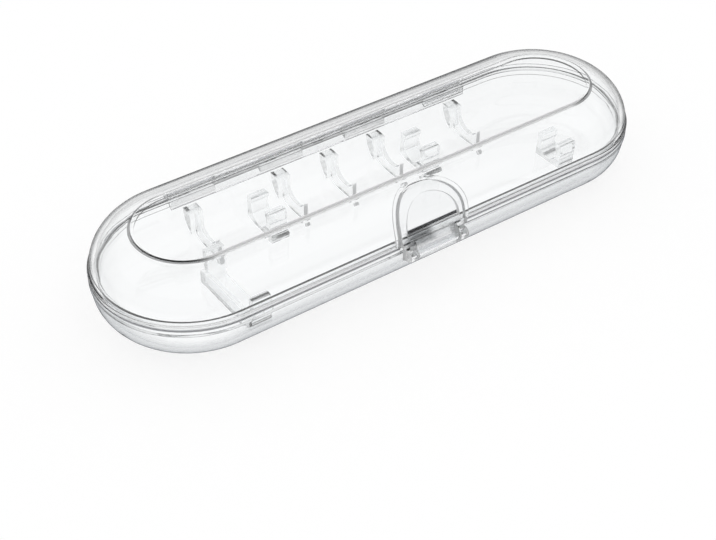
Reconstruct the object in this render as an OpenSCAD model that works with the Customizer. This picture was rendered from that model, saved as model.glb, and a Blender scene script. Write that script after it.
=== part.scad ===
// Clear hinged travel case for a powered toothbrush, closed and lying on its base.
// X runs along the case, the clasp faces -Y, the hinge is on +Y and Z points up.
// The origin is on the table, under the middle of the case.

/* [Case] */
// Length of the closed case over its round ends
case_l = 215; // [200:1:250]
// Width across the rims, without hinge and clasp
case_w = 67; // [64:1:74]
// Height of the lower half, from the table to the parting line
base_h = 17.2; // [16.4:0.2:22]
// Height of the lid, from the parting line to the top of its panel
lid_h = 15.8; // [15:0.2:18]
// Wall of both mouldings
wall = 1.8; // [1.5:0.1:2.2]
// Outer rounding where the sides of the lower half meet its floor
base_round = 13; // [10:0.5:13.5]
// Upright part of the lid's side, before it starts to round over
lid_upright = 1; // [0.6:0.1:1.6]
// How far the lid's top panel stands above the rounding round it
panel_rise = 0.6; // [0.4:0.1:1.2]
// Flat ledge between the rounding and the edge of the top panel
panel_ledge = 0.4; // [0.2:0.1:1.5]
// Rounding of the top panel's upper edge
panel_edge = 0.4; // [0.2:0.1:0.8]

/* [Rim] */
// How far the bead along each rim stands out
bead_out = 0.5; // [0.3:0.1:0.8]
// Height of the bead on the lid's rim
lid_bead_h = 1.8; // [1.4:0.1:2.6]
// Height of the bead on the lower rim
base_bead_h = 2.8; // [2:0.1:3.6]
// Rounding of the beads' edges
bead_edge = 0.45; // [0.2:0.05:0.6]
// Thickness of the lip that guides the lid
lip_t = 1; // [0.8:0.1:1.4]
// Height of the lip above the parting line
lip_up = 1.6; // [1:0.1:2.2]
// Depth of the thick part that carries the lip, below the parting line
lip_down = 3.2; // [2:0.1:4]
// Air between the two rims when closed
rim_gap = 0.1; // [0.05:0.05:0.2]
// Side clearance between the lip and the lid
lip_fit = 0.3; // [0.2:0.05:0.5]

/* [Hinge] */
// Length of the hinge along the case
hinge_l = 128; // [80:2:128]
// Number of knuckles, shared by the two leaves
knuckles = 7; // [5:2:9]
// Distance from the rims to the hinge axis
hinge_out = 2.45; // [2.4:0.05:3.2]
// Outer radius of a knuckle
knuckle_r = 2.3; // [2:0.05:2.3]
// Air between neighbouring knuckles
knuckle_gap = 0.3; // [0.2:0.05:0.6]
// Height of each hinge leaf along its rim
leaf_h = 4; // [3:0.1:4]
// Thickness of a hinge leaf
leaf_t = 1.2; // [1:0.1:1.4]
// Air round a leaf in its pocket
leaf_fit = 0.05; // [0.02:0.01:0.1]
// Radius of the steel hinge pin
pin_r = 1; // [0.8:0.1:1.2]
// Running clearance round both pins
pin_fit = 0.05; // [0.02:0.01:0.09]

/* [Clasp] */
// Half width of the clasp, and radius of its arch
clasp_r = 13.2; // [11:0.2:14]
// Angle round the lid's side at which the arch ends
clasp_reach = 71; // [60:1:73]
// Half width of the finger scoop, and radius of its arch
scoop_r = 10.8; // [7:0.2:11]
// Angle round the lid's side at which the scoop ends
scoop_reach = 56; // [46:1:58]
// Height of the scoop's lower edge above the parting line
scoop_up = 3.3; // [2.8:0.1:4]
// Depth of the finger scoop at its lower edge
scoop_deep = 1.7; // [1:0.1:1.8]
// How much shallower the scoop gets towards its top
scoop_fade = 1.6; // [0.6:0.1:1.8]
// Radius of the scoop's hollow foot
scoop_foot = 1.1; // [0.6:0.1:1.3]
// How far the clasp stands proud of the lid
clasp_out = 1.3; // [1:0.1:1.8]
// Thickness of the clasp
clasp_t = 2.6; // [2.4:0.1:2.8]
// Air between the clasp and its opening in the lid
clasp_gap = 0.4; // [0.3:0.05:0.6]
// Air between the clasp's leg and the side of the lower half
leg_gap = 0.3; // [0.25:0.05:0.5]
// Thickness of the clasp's leg
leg_t = 2; // [1.6:0.1:2.4]
// Width of the raised frame round the opening for the clasp
frame_w = 1.6; // [1:0.1:2.4]
// How far that frame stands out of the lid
frame_out = 0.6; // [0.4:0.1:0.9]
// Length of the clasp's barrel
barrel_l = 17.4; // [14:0.2:18]
// Radius of the clasp's barrel and of its ears
barrel_r = 2.2; // [1.9:0.1:2.4]
// Width of an ear that carries the clasp
ear_w = 3; // [2.4:0.1:3.4]
// How far an ear's web runs on below its round end
ear_root = 1.5; // [0.5:0.1:2]
// Distance from the rim bead to the clasp's axis
clasp_axis_out = 2.4; // [2.3:0.1:3]
// Depth of the clasp's axis under the parting line
clasp_axis_down = 2.6; // [2.5:0.1:3.4]
// Radius of the clasp's pin
clasp_pin_r = 0.8; // [0.6:0.1:1]
// How far a snap bump stands out of the clasp's edge
bump_out = 0.25; // [0.15:0.05:0.28]
// Radius of a snap bump
bump_r = 0.7; // [0.5:0.1:0.9]
// Height of the snap bumps above the parting line
bump_up = 3.8; // [3:0.1:5]

/* [Holders] */
// Distance of the main row from the middle, towards the clasp
main_row_y = 9.6; // [6:0.2:11]
// Distance of the spare row from the side with the hinge
spare_row_in = 15.7; // [14.5:0.1:17.5]
// Distance of the end cradle from its end of the case
cradle_in = 44.7; // [40:0.1:50]
// Clear width between the cradle's cheeks
cradle_w = 26.4; // [22:0.2:27]
// Distance of the neck clip from its end of the case
neck_in = 30.5; // [29:0.5:40]
// Clear width of the neck clip
neck_w = 8.4; // [6:0.2:11]
// Distance of each spare clip from the middle of the case
spare_x = 33.6; // [30:0.2:38]
// Clear width of a spare clip
spare_w = 10; // [8:0.2:11]
// Spacing between the inner dividers
divider_step = 21; // [18:0.5:25]
// Distance of the outer dividers from the middle
divider_end = 57; // [50:1:62]
// Thickness of a divider
divider_t = 1.6; // [1.2:0.1:2.2]
// Height of a divider above the floor
divider_h = 10.5; // [8:0.5:12]
// Reach of a divider from the wall towards the middle
divider_reach = 19; // [15:0.5:20]
// Radius of the saddle in a divider
saddle_r = 6.5; // [5:0.1:7]
// Width of the thick root of a divider, along the case
root_w = 5.2; // [3:0.2:7]
// Reach of that root from the side wall
root_deep = 5; // [3:0.5:7]
// Thickness of the prongs and cheeks
prong_t = 2.4; // [1.8:0.1:3]
// Length of a clip along the case
clip_l = 7; // [5:0.5:9]
// Height of the clips above the floor
clip_h = 10; // [8:0.5:12]
// Width of a clip's mouth, as a share of its clear width
clip_mouth = 0.84; // [0.75:0.01:0.92]
// Height of the cradle's cheeks above the floor
cheek_h = 12; // [9:0.5:13.5]
// Thickness of the floor of a clip or cradle
foot_t = 1.2; // [1:0.1:2]
// Air under and behind the holders
seat_gap = 0.1; // [0.05:0.05:0.2]
// Distance of the neck clip's middle from that of the main row
neck_shift = 1; // [0:0.5:2]

/* [Hidden] */
DIVIDERS = [-divider_end, -divider_step, 0, divider_step, divider_end];
$fn = 96;
side_r = case_w / 2 - bead_out;
straight = case_l - case_w;
lid_z = base_h + rim_gap;
inner_r = side_r - wall;
lip_r = inner_r - lip_fit;
lid_round = lid_h - lid_upright - panel_rise;
panel_r = side_r - lid_round - panel_ledge;
panel_lip = wall - panel_rise;
hinge_y = case_w / 2 + hinge_out;
hinge_z = base_h + rim_gap / 2;
pitch = hinge_l / knuckles;
leaf_y = case_w / 2 - leaf_t;
round_y = side_r - lid_round;
round_z = lid_z + lid_upright;
clasp_y = case_w / 2 + clasp_axis_out;
clasp_z = base_h - clasp_axis_down;
clasp_outer = lid_round + clasp_out;
clasp_inner = clasp_outer - clasp_t;
clasp_tilt = 50;
arch_v = clasp_outer * sin(clasp_reach - clasp_tilt) - clasp_r;
scoop_v = clasp_outer * sin(scoop_reach - clasp_tilt) - scoop_r;
frame_r = clasp_r + clasp_gap + frame_w;
leg_y = side_r + leg_gap;
leg_z = round_z + lid_upright;
ear_x = barrel_l / 2 + knuckle_gap + ear_w / 2;
cradle_x = cradle_in - case_l / 2;
neck_x = case_l / 2 - neck_in;
spare_row_y = case_w / 2 - spare_row_in;
floor_z = wall + seat_gap;
past = 1;
clear = [0.93, 0.95, 0.97, 0.45];
smoke = [0.8, 0.81, 0.83, 0.55];
steel = [0.75, 0.76, 0.78];

// Half of a tub's section: radius to the right, height up, one rounded lower corner
module tub_half(r, h, fillet) {
    intersection() {
        union() {
            translate([r - fillet, fillet]) circle(fillet);
            translate([0, fillet]) square([r, h - fillet]);
            square([r - fillet, h]);
        }
        square([r, h]);
    }
}

// Carries a half section round the whole plan: two straight sides and two round ends
module round_plan() {
    translate([-straight / 2, 0, 0]) rotate([90, 0, 90]) linear_extrude(straight) {
        children();
        mirror([1, 0]) children();
    }
    for (flip = [0, 1]) mirror([flip, 0, 0])
        translate([straight / 2, 0, 0]) rotate([0, 0, -90]) rotate_extrude(angle = 180) children();
}

// Puts a section drawn in distance-from-middle and height across the case, at x from a to b
module across(a, b, side) {
    mirror([0, side < 0 ? 1 : 0, 0]) translate([a, 0, 0]) rotate([90, 0, 90]) linear_extrude(b - a) children();
}

// The hollow of the lower half, kept a gap away from floor and walls
module base_hollow(gap) {
    translate([0, 0, wall + gap]) round_plan()
        tub_half(inner_r - gap, base_h, base_round - wall - gap);
}

// A rim's wall and bead in section, with rounded outer edges, standing on height 0
module bead(h) {
    out = wall + bead_out;
    translate([side_r - wall, 0]) {
        square([out - bead_edge, h]);
        translate([0, bead_edge]) square([out, h - 2 * bead_edge]);
        for (z = [bead_edge, h - bead_edge]) translate([out - bead_edge, z]) circle(bead_edge);
    }
}

module base_section() {
    difference() {
        union() {
            tub_half(side_r, base_h, base_round);
            translate([0, base_h - base_bead_h]) bead(base_bead_h);
        }
        translate([0, wall]) tub_half(inner_r, base_h, base_round - wall);
    }
    translate([lip_r - lip_t, base_h - lip_down]) square([lip_t, lip_down + lip_up - lip_t / 2]);
    translate([lip_r - lip_t / 2, base_h + lip_up - lip_t / 2]) circle(lip_t / 2);
    polygon([[inner_r + wall / 2, base_h - lip_down - lip_t], [lip_r - lip_t, base_h - lip_down],
        [lip_r - lip_t, base_h], [inner_r + wall / 2, base_h]]);
}

module clasp_ear(x) {
    across(x - ear_w / 2, x + ear_w / 2, -1) {
        translate([clasp_y, clasp_z]) circle(barrel_r);
        polygon([[side_r - wall / 2, clasp_z + barrel_r], [clasp_y, clasp_z + barrel_r],
            [clasp_y, clasp_z - barrel_r], [side_r - wall / 2, clasp_z - barrel_r - ear_root]]);
    }
}

module base_shell() {
    color(clear) difference() {
        union() {
            difference() {
                round_plan() base_section();
                // room in the bead for the leg of the clasp
                translate([-clasp_r - clasp_gap, -case_w / 2 - past, base_h - base_bead_h - past])
                    cube([2 * (clasp_r + clasp_gap), past + bead_out, base_bead_h + 2 * past]);
            }
            clasp_ear(-ear_x);
            clasp_ear(ear_x);
        }
        // pocket for the hinge leaf
        translate([-hinge_l / 2 - leaf_fit, leaf_y - leaf_fit, base_h - leaf_h - leaf_fit])
            cube([hinge_l + 2 * leaf_fit, leaf_t + past, leaf_h + past]);
        translate([-case_l / 2, -clasp_y, clasp_z]) rotate([0, 90, 0])
            cylinder(r = clasp_pin_r + pin_fit, h = case_l);
    }
}

module lid_section() {
    top = lid_h - panel_rise;
    difference() {
        union() {
            translate([0, top]) mirror([0, 1]) tub_half(side_r, top, lid_round);
            bead(lid_bead_h);
            square([panel_r - panel_edge, lid_h]);
            square([panel_r, lid_h - panel_edge]);
            translate([panel_r - panel_edge, lid_h - panel_edge]) circle(panel_edge);
        }
        translate([0, top - wall]) mirror([0, 1]) tub_half(inner_r, top, lid_round - wall);
        square([panel_r - panel_lip, lid_h - wall]);
    }
}

// Stands a flat outline, drawn square to the lid's rounding, into the side with the clasp
module into_side() {
    translate([0, -round_y, round_z]) rotate([90 - clasp_tilt, 0, 0])
        linear_extrude(2 * clasp_outer) children();
}

// An arch with its middle at v on the tilted plane, and straight sides running down
module arch(r, v) {
    into_side() translate([0, v]) {
        circle(r);
        translate([-r, -2 * clasp_outer]) square([2 * r, 2 * clasp_outer]);
    }
}

// The raised frame round the clasp's opening in section, from inside the lid's wall outwards
module frame_section() {
    middle = lid_round - wall / 2;
    difference() {
        translate([round_y, round_z]) circle(lid_round + frame_out);
        translate([round_y, round_z]) circle(middle);
        square([case_w, round_z]);
        square([round_y, case_w]);
    }
    translate([round_y + middle, lid_z]) square([lid_round + frame_out - middle, round_z - lid_z]);
}

module lid_shell() {
    color(clear) difference() {
        union() {
            translate([0, 0, lid_z]) round_plan() lid_section();
            intersection() {
                across(-frame_r, frame_r, -1) frame_section();
                arch(frame_r, arch_v);
            }
        }
        arch(clasp_r + clasp_gap, arch_v);
        // pocket for the hinge leaf
        translate([-hinge_l / 2 - leaf_fit, leaf_y - leaf_fit, lid_z - past])
            cube([hinge_l + 2 * leaf_fit, leaf_t + past, leaf_h + leaf_fit + past]);
    }
}

// One hinge leaf in section: plate, web and knuckle, the web below the parting plane
module knuckle_section() {
    translate([hinge_y, 0]) circle(knuckle_r);
    polygon([[leaf_y + leaf_t / 2, -rim_gap / 2], [hinge_y, -rim_gap / 2], [hinge_y, -knuckle_r],
        [leaf_y + leaf_t / 2, -leaf_h]]);
}

// A leaf below the hinge plane, carrying every second knuckle from the first one given
module leaf(first) {
    difference() {
        union() {
            across(-hinge_l / 2, hinge_l / 2, 1)
                translate([leaf_y, -rim_gap / 2 - leaf_h]) square([leaf_t, leaf_h]);
            for (k = [first : 2 : knuckles - 1])
                across(-hinge_l / 2 + k * pitch + knuckle_gap / 2,
                    -hinge_l / 2 + (k + 1) * pitch - knuckle_gap / 2, 1) knuckle_section();
        }
        translate([-case_l / 2, hinge_y, 0]) rotate([0, 90, 0]) cylinder(r = pin_r + pin_fit, h = case_l);
    }
}

module base_hinge_leaf() {
    color(smoke) translate([0, 0, hinge_z]) leaf(0);
}

module lid_hinge_leaf() {
    color(smoke) translate([0, 0, hinge_z]) mirror([0, 0, 1]) leaf(1);
}

module hinge_pin() {
    color(steel) translate([-hinge_l / 2 + knuckle_gap, hinge_y, hinge_z]) rotate([0, 90, 0])
        cylinder(r = pin_r, h = hinge_l - 2 * knuckle_gap);
}

// The clasp's plate in section: follows the lid's rounding, then runs down outside the rim
module clasp_plate_section() {
    foot_z = base_h + clasp_gap;
    difference() {
        translate([round_y, round_z]) circle(clasp_outer);
        translate([round_y, round_z]) circle(clasp_inner);
        square([case_w, foot_z]);
        square([round_y, case_w]);
    }
    translate([leg_y, foot_z]) square([leg_t, leg_z - foot_z]);
}

module clasp_leg_section() {
    translate([clasp_y, clasp_z]) circle(barrel_r);
    polygon([[leg_y, clasp_z], [leg_y, leg_z], [leg_y + leg_t, leg_z], [clasp_y + barrel_r, clasp_z]]);
}

// The finger scoop: deep at its straight lower edge and shallow at the top of its arch
module scoop() {
    floor_r = clasp_outer - scoop_deep;
    foot_z = lid_z + scoop_up + scoop_foot;
    foot_y = round_y + sqrt(pow(floor_r, 2) - pow(foot_z - round_z - scoop_fade, 2)) + scoop_foot;
    intersection() {
        across(-clasp_r, clasp_r, -1) {
            difference() {
                translate([round_y, foot_z]) square(2 * clasp_outer);
                translate([round_y, round_z + scoop_fade]) circle(floor_r);
            }
            translate([foot_y, foot_z]) {
                circle(scoop_foot);
                translate([0, -scoop_foot]) square([clasp_outer, 2 * scoop_foot]);
            }
        }
        arch(scoop_r, scoop_v);
    }
}

module clasp_flap() {
    bump_z = lid_z + bump_up;
    bump_y = round_y + sqrt(pow(clasp_inner + clasp_t / 2, 2) - pow(bump_z - round_z, 2));
    color(clear) difference() {
        union() {
            difference() {
                intersection() {
                    across(-clasp_r, clasp_r, -1) clasp_plate_section();
                    arch(clasp_r, arch_v);
                }
                scoop();
            }
            across(-barrel_l / 2, barrel_l / 2, -1) clasp_leg_section();
            for (side = [0, 1]) mirror([side, 0, 0])
                translate([clasp_r - past, -bump_y, bump_z]) rotate([0, 90, 0])
                    cylinder(r = bump_r, h = past + bump_out);
        }
        translate([-case_l / 2, -clasp_y, clasp_z]) rotate([0, 90, 0])
            cylinder(r = clasp_pin_r + pin_fit, h = case_l);
    }
}

module clasp_pin() {
    pin_l = barrel_l + 2 * ear_w + knuckle_gap;
    color(clear) translate([-pin_l / 2, -clasp_y, clasp_z]) rotate([0, 90, 0])
        cylinder(r = clasp_pin_r, h = pin_l);
}

// A spring clip with two prongs: an open ring on a foot, along x for a length
module prong_clip(x, y, gap_w, long, high) {
    outer = gap_w / 2 + prong_t;
    mouth = clip_mouth * gap_w;
    color(clear) intersection() {
        base_hollow(seat_gap);
        translate([x - long / 2, y, 0]) rotate([90, 0, 90]) linear_extrude(long) difference() {
            translate([-outer, 0]) square([2 * outer, floor_z + high]);
            translate([0, floor_z + foot_t + gap_w / 2]) circle(gap_w / 2);
            translate([-mouth / 2, floor_z + foot_t + gap_w / 2]) square([mouth, high]);
        }
    }
}

module end_cradle() {
    half = cradle_w / 2 + prong_t;
    color(clear) intersection() {
        base_hollow(seat_gap);
        union() {
            translate([cradle_x - clip_l / 2, -main_row_y, 0]) rotate([90, 0, 90]) linear_extrude(clip_l)
                difference() {
                    translate([-half, 0]) square([2 * half, floor_z + cheek_h]);
                    translate([-cradle_w / 2, floor_z + foot_t]) square([cradle_w, cheek_h]);
                }
            translate([cradle_x - clip_l / 2 - divider_t, -main_row_y - half, 0])
                cube([divider_t, 2 * half, floor_z + cheek_h / 2]);
        }
    }
}

module neck_clip() {
    prong_clip(neck_x, neck_shift - main_row_y, neck_w, clip_l, clip_h);
}

module spare_clip_left() {
    prong_clip(-spare_x, spare_row_y, spare_w, clip_l, clip_h);
}

module spare_clip_right() {
    prong_clip(spare_x, spare_row_y, spare_w, clip_l, clip_h);
}

// A cross wall with a saddle on top and a buttress where it meets the side wall
module divider(x) {
    inner_end = inner_r - divider_reach;
    color(clear) intersection() {
        base_hollow(seat_gap);
        union() {
            across(x - divider_t / 2, x + divider_t / 2, 1) difference() {
                translate([inner_end, 0]) square([divider_reach, floor_z + divider_h]);
                translate([spare_row_y, floor_z + divider_h]) circle(saddle_r);
            }
            across(x - root_w / 2, x + root_w / 2, 1)
                translate([inner_r - root_deep, 0]) square([root_deep, floor_z + divider_h]);
        }
    }
}

module divider_1() {
    divider(DIVIDERS[0]);
}

module divider_2() {
    divider(DIVIDERS[1]);
}

module divider_3() {
    divider(DIVIDERS[2]);
}

module divider_4() {
    divider(DIVIDERS[3]);
}

module divider_5() {
    divider(DIVIDERS[4]);
}

base_shell();
lid_shell();
base_hinge_leaf();
lid_hinge_leaf();
hinge_pin();
clasp_flap();
clasp_pin();
end_cradle();
neck_clip();
spare_clip_left();
spare_clip_right();
divider_1();
divider_2();
divider_3();
divider_4();
divider_5();
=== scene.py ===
import bpy, bmesh, math
from mathutils import Vector, Matrix

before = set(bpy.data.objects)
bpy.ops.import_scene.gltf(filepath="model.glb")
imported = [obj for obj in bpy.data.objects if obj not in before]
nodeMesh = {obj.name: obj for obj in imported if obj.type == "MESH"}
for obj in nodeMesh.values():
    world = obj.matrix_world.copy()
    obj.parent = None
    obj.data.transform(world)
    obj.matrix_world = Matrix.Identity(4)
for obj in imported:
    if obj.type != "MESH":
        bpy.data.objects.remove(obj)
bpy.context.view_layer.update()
print("frame loaded,", len(nodeMesh), "nodes")

# the case lies from lower left to upper right, seen from above its clasp side
shot = {
    "turn": -35.45,     # degrees round the case, 0 is square to the clasp side
    "height": 40.49,    # degrees above the table
    "roll": 0.53,       # degrees
    "distance": 0.457,
    "target": (-0.03119, -0.03423, 0.017),
    "lens": 70.6,
    "sensor": 36,
    "clipStart": 0.01,
}


def makeCamera():
    turn, height, roll = (math.radians(shot[k]) for k in ("turn", "height", "roll"))
    back = Vector((math.sin(turn) * math.cos(height), -math.cos(turn) * math.cos(height), math.sin(height)))
    right = Vector((math.cos(turn), math.sin(turn), 0))
    up = back.cross(right)
    leanRight = right * math.cos(roll) + up * math.sin(roll)
    leanUp = up * math.cos(roll) - right * math.sin(roll)
    camera = bpy.data.objects.new("camera", bpy.data.cameras.new("camera"))
    bpy.context.collection.objects.link(camera)
    place = Matrix((leanRight, leanUp, back)).transposed().to_4x4()
    place.translation = Vector(shot["target"]) + back * shot["distance"]
    camera.matrix_world = place
    camera.data.lens = shot["lens"]
    camera.data.sensor_width = shot["sensor"]
    camera.data.clip_start = shot["clipStart"]
    bpy.context.scene.camera = camera


makeCamera()
print("camera placed")


# small helpers that every material below shares
def emptyTree(owner):
    owner.use_nodes = True
    nodes, links = owner.node_tree.nodes, owner.node_tree.links
    nodes.clear()
    return nodes, links


def newMaterial(name):
    mat = bpy.data.materials.new(name)
    return mat, *emptyTree(mat)


def addNode(nodes, kind, **settings):
    node = nodes.new("ShaderNode" + kind)
    for name, value in settings.items():
        setattr(node, name, value)
    return node


def feed(links, value, socket):
    if isinstance(value, (int, float)):
        socket.default_value = value
    elif isinstance(value, tuple):
        socket.default_value = (*value, 1)
    else:
        links.new(value, socket)


def maths(nodes, links, kind, a, b=0):
    node = addNode(nodes, "Math", operation=kind)
    feed(links, a, node.inputs[0])
    feed(links, b, node.inputs[1])
    return node.outputs[0]


def spread(nodes, links, value, fromMin, fromMax, toMin, toMax):
    node = addNode(nodes, "MapRange")
    feed(links, value, node.inputs["Value"])
    for name, number in zip(("From Min", "From Max", "To Min", "To Max"), (fromMin, fromMax, toMin, toMax)):
        node.inputs[name].default_value = number
    return node.outputs["Result"]


def mixColours(nodes, links, factor, first, second):
    node = addNode(nodes, "Mix", data_type="RGBA")
    feed(links, factor, node.inputs["Factor"])
    feed(links, first, node.inputs[6])
    feed(links, second, node.inputs[7])
    return node.outputs[2]


def mixShaders(nodes, links, factor, first, second):
    node = addNode(nodes, "MixShader")
    for socket, value in zip(node.inputs, (factor, first, second)):
        links.new(value, socket)
    return node.outputs[0]


def noise(nodes, links, place, scale, detail=2, distortion=0):
    node = addNode(nodes, "TexNoise")
    for name, number in (("Scale", scale), ("Detail", detail), ("Distortion", distortion)):
        node.inputs[name].default_value = number
    links.new(place, node.inputs["Vector"])
    return node.outputs["Fac"]


def addBump(nodes, links, body, relief, height):
    bump = addNode(nodes, "Bump")
    bump.inputs["Distance"].default_value = height
    links.new(relief, bump.inputs["Height"])
    links.new(bump.outputs[0], body.inputs["Normal"])


# light passes a clear piece on its way to the table, so that its shadow stays faint
def clearShadow(nodes, links, body, grey):
    through = addNode(nodes, "BsdfTransparent")
    through.inputs["Color"].default_value = (grey, grey, grey, 1)
    path = addNode(nodes, "LightPath")
    return mixShaders(nodes, links, path.outputs["Is Shadow Ray"], body.outputs[0], through.outputs[0])


# white table and background, with a dark band low down that draws the edges of clear plastic
studio = {
    "softLight": 0.85,
    "bandFrom": 0.45,       # sine of the height up to which the surroundings are dark
    "bandTo": 0.60,
    "bandGrey": 0.8,
    "tableColour": 0.9,
    "whiteShare": 0.65,     # of the table as the camera sees it, so that the shadow stays faint
    "whiteGlow": 1.126,     # makes up for the paint, which alone falls short of white
    "tableSize": 3.0,
    "tableDrop": 0.0003,
    "whiteRadius": 0.28,    # round the case the table stays white in glass and gloss
    "farRadius": 0.40,
    "farGrey": 0.6,
}


def bentRays(nodes, links):
    path = addNode(nodes, "LightPath")
    bent = maths(nodes, links, "MAXIMUM", path.outputs["Is Glossy Ray"], path.outputs["Is Transmission Ray"])
    return path.outputs["Is Camera Ray"], bent


def makeWorld():
    world = bpy.data.worlds.new("studio")
    bpy.context.scene.world = world
    nodes, links = emptyTree(world)
    soft = addNode(nodes, "Background")
    soft.inputs["Strength"].default_value = studio["softLight"]
    white = addNode(nodes, "Background")
    for light in (soft, white):
        light.inputs["Color"].default_value = (1, 1, 1, 1)
    banded = addNode(nodes, "Background")
    place = addNode(nodes, "TexCoord")
    way = addNode(nodes, "SeparateXYZ")
    links.new(place.outputs["Generated"], way.inputs[0])
    overBand = spread(nodes, links, way.outputs["Z"], studio["bandFrom"], studio["bandTo"], 0, 1)
    links.new(maths(nodes, links, "MAXIMUM", overBand, studio["bandGrey"]), banded.inputs["Color"])
    cameraRay, bent = bentRays(nodes, links)
    others = mixShaders(nodes, links, bent, soft.outputs[0], banded.outputs[0])
    out = addNode(nodes, "OutputWorld")
    links.new(mixShaders(nodes, links, cameraRay, others, white.outputs[0]), out.inputs["Surface"])


def whiteTable():
    mat, nodes, links = newMaterial("whiteTable")
    paint = addNode(nodes, "BsdfDiffuse")
    paint.inputs["Color"].default_value = (*[studio["tableColour"]] * 3, 1)
    white = addNode(nodes, "Emission")
    white.inputs["Strength"].default_value = studio["whiteGlow"]
    cameraRay, bent = bentRays(nodes, links)
    share = maths(nodes, links, "MULTIPLY", cameraRay, studio["whiteShare"])
    lit = mixShaders(nodes, links, share, paint.outputs[0], white.outputs[0])
    place = addNode(nodes, "NewGeometry")
    far = addNode(nodes, "VectorMath", operation="LENGTH")
    links.new(place.outputs["Position"], far.inputs[0])
    near = spread(nodes, links, far.outputs["Value"], studio["whiteRadius"], studio["farRadius"],
                  1, studio["farGrey"])
    glow = addNode(nodes, "Emission")
    links.new(near, glow.inputs["Color"])
    out = addNode(nodes, "OutputMaterial")
    links.new(mixShaders(nodes, links, bent, lit, glow.outputs[0]), out.inputs["Surface"])
    return mat


def makeTable():
    bm = bmesh.new()
    bmesh.ops.create_grid(bm, x_segments=1, y_segments=1, size=studio["tableSize"])
    mesh = bpy.data.meshes.new("table")
    bm.to_mesh(mesh)
    bm.free()
    table = bpy.data.objects.new("table", mesh)
    bpy.context.collection.objects.link(table)
    table.location.z = -studio["tableDrop"]
    table.data.materials.append(whiteTable())


makeWorld()
makeTable()
print("studio ready")

# clear mouldings: see-through, with painted dark edges where the wall turns away
shellFinish = {
    "tint": (0.985, 0.99, 0.992),
    "shadowGrey": 0.985,
    "ior": 1.49,
    "rough": (0.0, 0.03),
    "waveScale": 38,         # slow flow waves left by moulding, per metre
    "waveHeight": 0.00003,
    "scuffScale": 420,
    "scuffFrom": 0.45,       # of the scuffs' pattern, where they begin and where they are full
    "scuffTo": 0.7,
    # the tint with which the coat paints shade on the edges
    "edgeTint": (0.62, 0.625, 0.63),
    "edgeStart": 0.62,       # 0 is square to the eye, 1 is edge on
    "edgeFull": 0.76,
    "flatFrom": 0.97,        # flat tops and floors stay clear: sine of the slope from which they do
    "flatTo": 0.995,
    "outsideEdge": 1.0,      # share of the dark edges on the outside, and on the faces round the hollow
    "insideEdge": 0.2,
    "turnSoft": 0.001,       # how softly outside turns to inside
    "absorb": 6.0,
    "absorbTint": (0.55, 0.62, 0.64),
}
# the line through the middles of the round ends, from which across is measured
middle = {"halfLength": 0.074, "height": 0.017}

# places with a surface of their own, and four with painted shade: the parting line, the round ends of the
# panel's step, the clasp's leg and the scoop's foot. Each measure is given as lowest, highest and how softly
# it ends, in metres on the
# closed case: reach is the distance from the middle along the case, across is the one from the line above,
# sideways and crossways say how far a face turns to x or y. Then edge is a place's share of the painted dark
# edges, dark is the least that it has of them, and through is the share of it that is clear
frost = (0.985, 0.99, 0.995)
# painted shade: a near-black line along the parting line, where the gap between lid and base shows dark
partingShade = {"across": (0.0328, 0.04, 0.0002), "z": (0.0169, 0.0176, 0.0002), "tint": (0.1, 0.1, 0.11),
               "rough": 0.3}
panelStep = {"x": (-0.076, 0.076, 0.006), "across": (0.0178, 0.0192, 0.0001), "z": (0.0318, 0.04, 0.0001),
             "tint": frost, "rough": 0.85, "edge": 0, "through": 0.5}
underStep = {"x": (-0.076, 0.076, 0.006), "across": (0.0168, 0.0176, 0.0001), "z": (0.0302, 0.0314, 0.0001),
             "tint": frost, "rough": 0.5, "edge": 0}
archSides = {"x": (-0.018, 0.018, 0.0001), "y": (-0.05, -0.015, 0.0001), "z": (0.009, 0.05, 0.0005),
             "sideways": (0.5, 1.1, 0.1), "tint": frost, "rough": 0.5, "edge": 0, "through": 0.3}
dividerEnds = {"y": (0.0120, 0.0124, 0.0001), "crossways": (0.9, 1.1, 0.1), "tint": frost, "rough": 0.5,
               "edge": 0, "through": 0.2}
# painted shade: the round ends of the panel's step are drawn dark
panelEndShade = {"reach": (0.079, 0.12, 0.006), "across": (0.0184, 0.0192, 0.00005), "z": (0.0318, 0.04, 0.0001),
             "tint": (0.15, 0.152, 0.155), "rough": 0.1}
roundEnds = {"reach": (0.080, 0.12, 0.010), "edge": 0.8}
frostedEars = {"y": (-0.05, -0.0339, 0.0002), "tint": frost, "rough": 0.2, "edge": 0}
frostedBarrel = {"z": (0, 0.0185, 0.002), "tint": frost, "rough": 0.2, "edge": 0}
# painted shade: a grey smudge on the left half of the clasp's leg, below the scoop
legShade = {"x": (-0.0090, -0.0025, 0.003), "z": (0.0182, 0.0208, 0.0008), "tint": (0.35, 0.355, 0.36),
            "rough": 0.1, "dark": 0.5}
# painted shade: a near-black bar at the foot of the finger scoop
scoopFootShade = {"x": (-0.0106, 0.0106, 0.0001), "y": (-0.05, -0.0322, 0.0001), "z": (0.0212, 0.0222, 0.0002),
             "tint": (0.02, 0.02, 0.022), "dark": 1}
lidFinish = dict(shellFinish, outsideEdge=0.82,
                 patches=[roundEnds, partingShade, archSides, panelStep, panelEndShade, underStep])
baseFinish = dict(shellFinish, edgeTint=(0.88, 0.885, 0.89), edgeStart=0.3, edgeFull=0.5,
                  patches=[partingShade, frostedEars, archSides])
claspFinish = dict(shellFinish, outsideEdge=0.7, insideEdge=0.4, tint=(0.95, 0.955, 0.96), absorb=14.0,
                   patches=[frostedBarrel, archSides, legShade, scoopFootShade])
holderFinish = dict(shellFinish, rough=(0.08, 0.16), edgeTint=(0.85, 0.855, 0.86), insideEdge=1,
                    patches=[dividerEnds])


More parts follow.
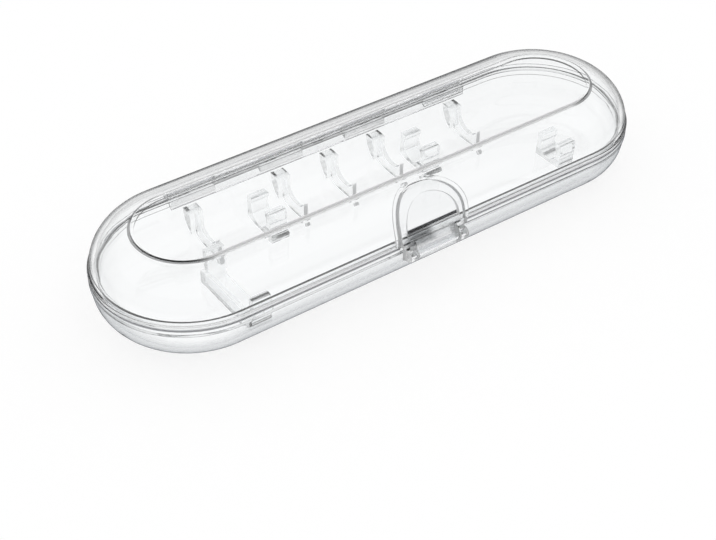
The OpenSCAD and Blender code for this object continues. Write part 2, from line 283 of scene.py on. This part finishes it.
def fromMiddle(nodes, links, place):
    split = addNode(nodes, "SeparateXYZ")
    links.new(place, split.inputs[0])
    along = addNode(nodes, "Clamp")
    links.new(split.outputs["X"], along.inputs["Value"])
    along.inputs["Min"].default_value = -middle["halfLength"]
    along.inputs["Max"].default_value = middle["halfLength"]
    line = addNode(nodes, "CombineXYZ")
    links.new(along.outputs[0], line.inputs["X"])
    line.inputs["Z"].default_value = middle["height"]
    away = addNode(nodes, "VectorMath", operation="SUBTRACT")
    links.new(place, away.inputs[0])
    links.new(line.outputs[0], away.inputs[1])
    flat = addNode(nodes, "VectorMath", operation="MULTIPLY")
    links.new(away.outputs[0], flat.inputs[0])
    flat.inputs[1].default_value = (1, 1, 0)
    across = addNode(nodes, "VectorMath", operation="LENGTH")
    links.new(flat.outputs[0], across.inputs[0])
    measures = {axis.lower(): split.outputs[axis] for axis in "XYZ"}
    measures["reach"] = maths(nodes, links, "ABSOLUTE", split.outputs["X"])
    measures["across"] = across.outputs["Value"]
    return away.outputs[0], measures


def patchMask(nodes, links, measures, patch):
    mask = 1
    for measure, value in measures.items():
        if measure in patch:
            low, high, soft = patch[measure]
            rising = spread(nodes, links, value, low - soft, low, 0, 1)
            falling = spread(nodes, links, value, high, high + soft, 1, 0)
            mask = maths(nodes, links, "MINIMUM", mask, maths(nodes, links, "MINIMUM", rising, falling))
    return mask


def within(nodes, links, mask, outside, inside):
    return spread(nodes, links, mask, 0, 1, outside, inside)


# painted shade: dark where the outside turns away from the eye, less round the hollow, and clear on flat tops
# and floors
def darkEdge(nodes, links, finish, facing, away, level):
    turned = addNode(nodes, "LayerWeight")
    edge = spread(nodes, links, turned.outputs["Facing"], finish["edgeStart"], finish["edgeFull"], 0, 1)
    side = addNode(nodes, "NewGeometry")
    entering = maths(nodes, links, "SUBTRACT", 1, side.outputs["Backfacing"])   # none on the way out
    outward = addNode(nodes, "VectorMath", operation="DOT_PRODUCT")
    links.new(facing, outward.inputs[0])
    links.new(away, outward.inputs[1])
    outside = spread(nodes, links, outward.outputs["Value"], -finish["turnSoft"], finish["turnSoft"],
                     finish["insideEdge"], finish["outsideEdge"])
    sloping = spread(nodes, links, level, finish["flatFrom"], finish["flatTo"], 1, 0)
    for share in (entering, outside, sloping):
        edge = maths(nodes, links, "MULTIPLY", edge, share)
    return edge


def clearPlastic(name, finish):
    mat, nodes, links = newMaterial(name)
    body = addNode(nodes, "BsdfPrincipled")
    body.inputs["IOR"].default_value = finish["ior"]
    body.inputs["Coat IOR"].default_value = 1
    body.inputs["Coat Tint"].default_value = (*finish["edgeTint"], 1)
    coords = addNode(nodes, "TexCoord")
    place, facing = coords.outputs["Object"], coords.outputs["Normal"]
    wave = noise(nodes, links, place, finish["waveScale"], detail=1)
    addBump(nodes, links, body, wave, finish["waveHeight"])
    scuff = noise(nodes, links, place, finish["scuffScale"], detail=4)
    rough = spread(nodes, links, scuff, finish["scuffFrom"], finish["scuffTo"], *finish["rough"])
    away, measures = fromMiddle(nodes, links, place)
    lean = addNode(nodes, "SeparateXYZ")
    links.new(facing, lean.inputs[0])
    measures["sideways"], measures["crossways"], level = (
        maths(nodes, links, "ABSOLUTE", lean.outputs[axis]) for axis in "XYZ")
    edge = darkEdge(nodes, links, finish, facing, away, level)
    tint, clear = finish["tint"], 1
    for patch in finish["patches"]:
        mask = patchMask(nodes, links, measures, patch)
        if "tint" in patch:
            tint = mixColours(nodes, links, mask, tint, patch["tint"])
        if "rough" in patch:
            rough = maths(nodes, links, "MAXIMUM", rough, within(nodes, links, mask, 0, patch["rough"]))
        if "edge" in patch:
            edge = maths(nodes, links, "MULTIPLY", edge, within(nodes, links, mask, 1, patch["edge"]))
        if "dark" in patch:
            edge = maths(nodes, links, "MAXIMUM", edge, within(nodes, links, mask, 0, patch["dark"]))
        if "through" in patch:
            clear = maths(nodes, links, "MINIMUM", clear, within(nodes, links, mask, 1, patch["through"]))
    feed(links, clear, body.inputs["Transmission Weight"])
    feed(links, tint, body.inputs["Base Color"])
    links.new(rough, body.inputs["Roughness"])
    links.new(edge, body.inputs["Coat Weight"])
    inside = addNode(nodes, "VolumeAbsorption")
    inside.inputs["Color"].default_value = (*finish["absorbTint"], 1)
    inside.inputs["Density"].default_value = finish["absorb"]
    out = addNode(nodes, "OutputMaterial")
    links.new(clearShadow(nodes, links, body, finish["shadowGrey"]), out.inputs["Surface"])
    links.new(inside.outputs[0], out.inputs["Volume"])
    return mat


# hinge leaves, clear with a faint smoky tint and a finer grain
hingeFinish = {
    "dark": (0.97, 0.975, 0.98),
    "pale": (0.99, 0.99, 0.99),
    "ior": 1.49,
    "through": 0.95,
    "rough": (0.03, 0.08),
    "grainScale": 900,
    "grainFrom": 0.3,
    "grainTo": 0.7,
    "grainHeight": 0.00002,
    "streakScale": 60,
    "streakBend": 1.5,
    "shadowGrey": 0.95,
}


def smokyPlastic(name, finish):
    mat, nodes, links = newMaterial(name)
    body = addNode(nodes, "BsdfPrincipled")
    body.inputs["Transmission Weight"].default_value = finish["through"]
    body.inputs["IOR"].default_value = finish["ior"]
    place = addNode(nodes, "TexCoord").outputs["Object"]
    streak = noise(nodes, links, place, finish["streakScale"], distortion=finish["streakBend"])
    shade = mixColours(nodes, links, streak, finish["dark"], finish["pale"])
    links.new(shade, body.inputs["Base Color"])
    grain = noise(nodes, links, place, finish["grainScale"], detail=6)
    rough = spread(nodes, links, grain, finish["grainFrom"], finish["grainTo"], *finish["rough"])
    links.new(rough, body.inputs["Roughness"])
    addBump(nodes, links, body, grain, finish["grainHeight"])
    out = addNode(nodes, "OutputMaterial")
    links.new(clearShadow(nodes, links, body, finish["shadowGrey"]), out.inputs["Surface"])
    return mat


# drawn steel wire for the long hinge pin
pinFinish = {
    "colour": (0.62, 0.62, 0.63),
    "wornColour": (0.72, 0.72, 0.73),
    "rough": (0.16, 0.36),
    "drawScale": 2400,
    "drawStretch": 0.02,
    "drawFrom": 0.3,
    "drawTo": 0.7,
    "drawHeight": 0.000006,
}


def drawnSteel(name, finish):
    mat, nodes, links = newMaterial(name)
    body = addNode(nodes, "BsdfPrincipled")
    body.inputs["Metallic"].default_value = 1
    along = addNode(nodes, "Mapping")
    along.inputs["Scale"].default_value = (finish["drawStretch"], 1, 1)
    links.new(addNode(nodes, "TexCoord").outputs["Object"], along.inputs["Vector"])
    lines = noise(nodes, links, along.outputs[0], finish["drawScale"], detail=5)
    shade = mixColours(nodes, links, lines, finish["colour"], finish["wornColour"])
    links.new(shade, body.inputs["Base Color"])
    rough = spread(nodes, links, lines, finish["drawFrom"], finish["drawTo"], *finish["rough"])
    links.new(rough, body.inputs["Roughness"])
    addBump(nodes, links, body, lines, finish["drawHeight"])
    out = addNode(nodes, "OutputMaterial")
    links.new(body.outputs[0], out.inputs["Surface"])
    return mat


def finishNodes():
    clearLid = clearPlastic("clearLid", lidFinish)
    clearBase = clearPlastic("clearBase", baseFinish)
    clearClasp = clearPlastic("clearClasp", claspFinish)
    clearHolder = clearPlastic("clearHolder", holderFinish)
    smokyHinge = smokyPlastic("smokyHinge", hingeFinish)
    pinSteel = drawnSteel("pinSteel", pinFinish)
    looks = {"lid_shell": clearLid, "base_shell": clearBase,
             "clasp_flap": clearClasp, "clasp_pin": clearClasp,
             "base_hinge_leaf": smokyHinge, "lid_hinge_leaf": smokyHinge, "hinge_pin": pinSteel}
    for name, ob in nodeMesh.items():
        ob.data.materials.clear()
        ob.data.materials.append(looks.get(name, clearHolder))


finishNodes()
print("finishes on")

glassBounces = 32     # light crosses many clear walls before it leaves the case
cycles = bpy.context.scene.cycles
cycles.max_bounces = glassBounces
cycles.transmission_bounces = glassBounces
cycles.transparent_max_bounces = glassBounces
bpy.context.scene.view_settings.view_transform = "Standard"
